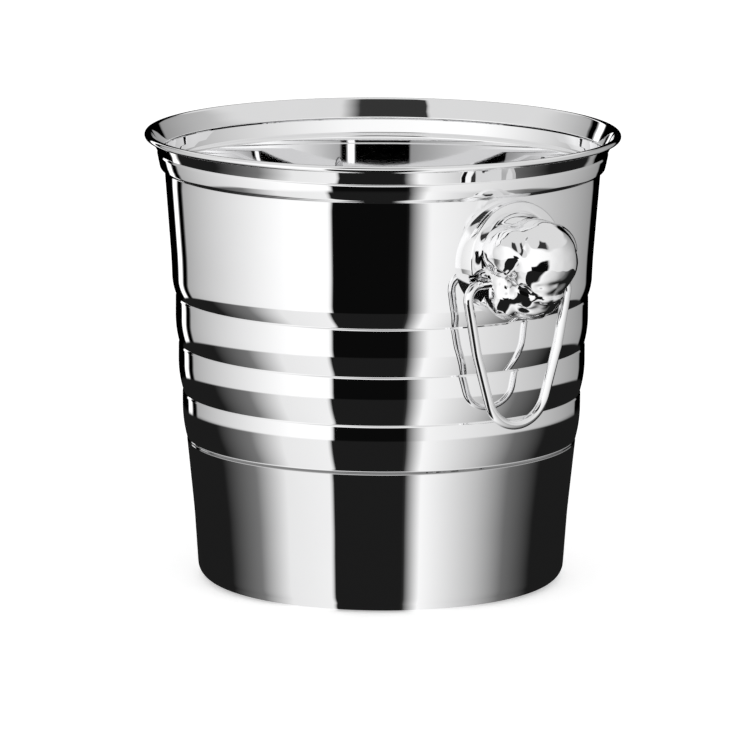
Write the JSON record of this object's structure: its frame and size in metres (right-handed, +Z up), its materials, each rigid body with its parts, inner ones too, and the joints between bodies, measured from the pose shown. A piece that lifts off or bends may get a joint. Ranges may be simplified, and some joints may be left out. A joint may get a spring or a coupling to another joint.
{
  "type": "ice bucket",
  "caption": "Tapered polished steel ice bucket with a curled lip, a stepped collar, pressed bands round the middle and a cast ear with a swinging wire ring on each side.",
  "frame": {"origin": "centre of the underside of the base, on the surface that the bucket stands on", "axes": "+Z up along the bucket's axis; +X towards the front ear, -X towards the rear ear; +Y follows by the right-hand rule"},
  "size_m": [0.2742, 0.2162, 0.2056],
  "materials": {
    "polished_sheet": "mirror polished stainless steel with faint spun marks",
    "cast_chrome": "bright plated casting, slightly uneven",
    "ring_wire": "bright polished wire",
    "fixing_steel": "bright zinc-plated steel",
    "seal": "matte black rubber"
  },
  "bodies": {
    "bucket": {"bucket_shell": "polished_sheet", "front_ear": "cast_chrome", "front_lower_screw": "fixing_steel", "front_lower_washer": "fixing_steel", "front_lower_seal": "seal", "front_upper_screw": "fixing_steel", "front_upper_washer": "fixing_steel", "front_upper_seal": "seal", "rear_ear": "cast_chrome", "rear_lower_screw": "fixing_steel", "rear_lower_washer": "fixing_steel", "rear_lower_seal": "seal", "rear_upper_screw": "fixing_steel", "rear_upper_washer": "fixing_steel", "rear_upper_seal": "seal"},
    "ring_front": {"front_ring": "ring_wire"},
    "ring_rear": {"rear_ring": "ring_wire"}
  },
  "joints": [
    {"name": "front_ring_swing", "type": "hinge", "parent": "bucket", "child": "ring_front", "pos_m": [0.1035, 0, 0.1515], "axis": [0, -1, 0], "range_deg": [-8.5, 160]},
    {"name": "rear_ring_swing", "type": "hinge", "parent": "bucket", "child": "ring_rear", "pos_m": [-0.1035, 0, 0.1515], "axis": [0, 1, 0], "range_deg": [-8.5, 160]}
  ]
}
